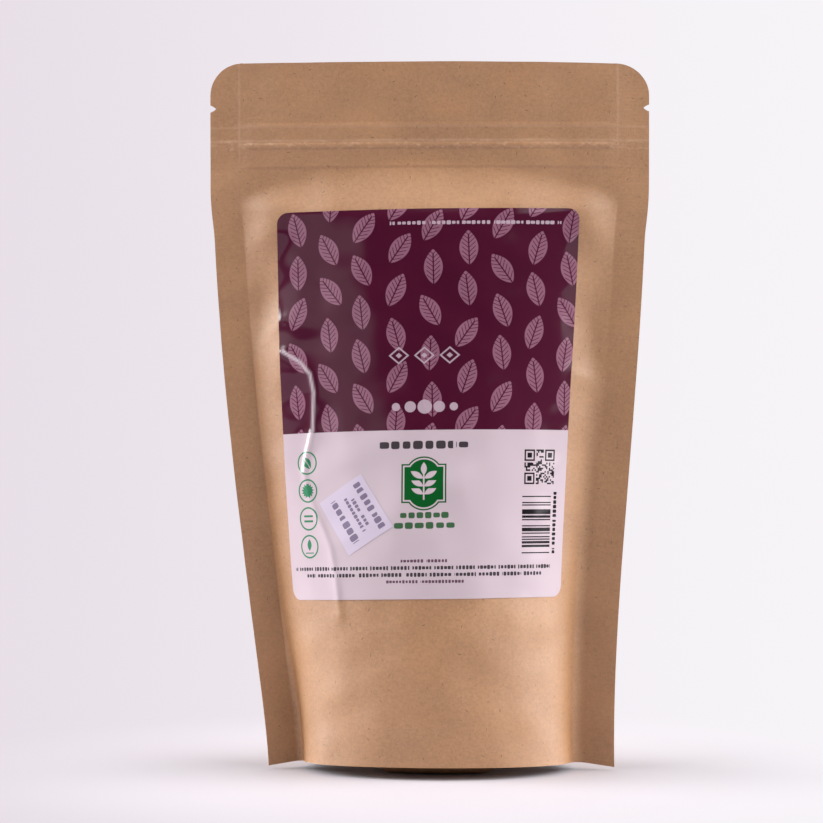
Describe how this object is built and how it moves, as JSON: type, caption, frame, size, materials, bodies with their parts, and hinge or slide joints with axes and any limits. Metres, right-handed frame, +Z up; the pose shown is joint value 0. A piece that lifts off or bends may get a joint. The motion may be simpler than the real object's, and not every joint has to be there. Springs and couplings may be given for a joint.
{
  "type": "stand-up pouch",
  "caption": "Kraft-paper stand-up pouch of dried dates, sealed, with a gusseted foot, a press-to-close zipper, tear notches and a printed front label.",
  "frame": {"origin": "middle of the pouch's bounding box at the level of the surface that it stands on", "axes": "+Z up along the height, +X to the right seen from the front, and the labelled front faces -Y"},
  "size_m": [0.13, 0.0578, 0.2091],
  "materials": {
    "kraft_paper": "satin",
    "zipper_film": "gloss",
    "label_paper": "gloss",
    "sticker_paper": "matte",
    "date_skin": "satin"
  },
  "bodies": {
    "root": {"front_panel": "kraft_paper", "back_panel": "kraft_paper", "bottom_gusset": "kraft_paper", "zipper_rib_strip": "zipper_film", "zipper_channel_strip": "zipper_film", "label": "label_paper", "lot_sticker": "sticker_paper", "date_01": "date_skin", "date_02": "date_skin", "date_03": "date_skin", "date_04": "date_skin", "date_05": "date_skin", "date_06": "date_skin", "date_07": "date_skin", "date_08": "date_skin", "date_09": "date_skin", "date_10": "date_skin", "date_11": "date_skin", "date_12": "date_skin", "date_13": "date_skin", "date_14": "date_skin", "date_15": "date_skin", "date_16": "date_skin", "date_17": "date_skin", "date_18": "date_skin", "date_19": "date_skin", "date_20": "date_skin"}
  },
  "joints": []
}
